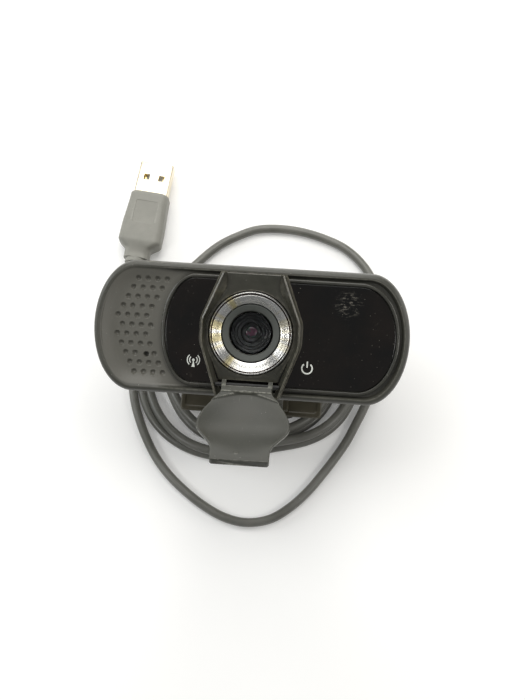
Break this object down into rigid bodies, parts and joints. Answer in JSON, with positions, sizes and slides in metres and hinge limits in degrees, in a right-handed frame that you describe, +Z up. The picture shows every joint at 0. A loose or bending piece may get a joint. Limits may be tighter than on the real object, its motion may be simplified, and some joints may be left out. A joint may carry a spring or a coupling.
{
  "type": "webcam",
  "caption": "Pill-shaped webcam on a folding monitor clip with a tripod socket, a flip-open privacy cover, and a coiled USB lead.",
  "frame": {"origin": "on the flat underside of the rubber foot pad, under the lens axis", "axes": "+X along the camera's width, to the right seen from the front; the front is at -Y; +Z up"},
  "size_m": [0.0986, 0.1247, 0.0621],
  "materials": {
    "black_plastic": "fine satin mould texture, dark olive-black",
    "grey_plastic": "soft satin, dark grey",
    "panel_gloss": "polished piano black",
    "chrome": "turned with fine concentric grooves",
    "lens_glass": "coated optical glass",
    "steel": "plain",
    "brass": "turned",
    "rubber": "matte",
    "circuit_board": "solder-resist green",
    "chip": "moulded package",
    "clear_plastic": "white or milky moulding",
    "cord_jacket": "smooth grey vinyl jacket",
    "gold_contact": "gold plated"
  },
  "bodies": {
    "clip": {"clip_plate": "black_plastic", "tilt_neck": "black_plastic", "neck_screw_1": "steel", "neck_screw_2": "steel", "tilt_pin": "steel", "friction_washer_left": "steel", "friction_washer_right": "steel", "jaw_pad": "rubber", "leg_pin": "steel", "cord_start": "cord_jacket", "cord_coil": "cord_jacket", "cord_loop": "cord_jacket", "plug_relief": "rubber", "plug_housing": "black_plastic", "plug_shell": "steel", "plug_tongue": "clear_plastic", "plug_contact_1": "gold_contact", "plug_contact_2": "gold_contact", "plug_contact_3": "gold_contact", "plug_contact_4": "gold_contact"},
    "leg": {"clip_leg": "black_plastic", "foot_pad": "rubber", "tripod_insert": "brass"},
    "flap": {"privacy_flap": "grey_plastic"},
    "head": {"front_shell": "black_plastic", "rear_shell": "black_plastic", "panel_trim": "black_plastic", "lens_barrel": "black_plastic", "lens_holder": "black_plastic", "cover_frame": "black_plastic", "lens_bezel": "grey_plastic", "front_panel": "panel_gloss", "lens_ring": "chrome", "lens_window": "lens_glass", "lens_element_front": "lens_glass", "lens_element_rear": "lens_glass", "case_screw_1": "steel", "case_screw_2": "steel", "case_screw_3": "steel", "case_screw_4": "steel", "flap_pin": "steel", "microphone": "steel", "microphone_gasket": "rubber", "cover_adhesive_ring": "rubber", "cord_gland": "rubber", "main_board": "circuit_board", "image_sensor": "chip", "image_processor": "chip", "infrared_filter": "clear_plastic", "cable_header": "clear_plastic", "status_led": "clear_plastic", "power_led": "clear_plastic", "status_light_guide": "clear_plastic", "power_light_guide": "clear_plastic"}
  },
  "joints": [
    {"name": "head_tilt", "type": "hinge", "parent": "clip", "child": "head", "pos_m": [0, -0.009, 0.023], "axis": [1, 0, 0], "range_deg": [0, 75]},
    {"name": "cover_flap", "type": "hinge", "parent": "head", "child": "flap", "pos_m": [0, -0.00937, 0.04824], "axis": [1, 0, 0], "range_deg": [-132, 15]},
    {"name": "clip_leg_fold", "type": "hinge", "parent": "clip", "child": "leg", "pos_m": [0, 0.0225, 0.0042], "axis": [1, 0, 0], "range_deg": [0, 105]}
  ]
}
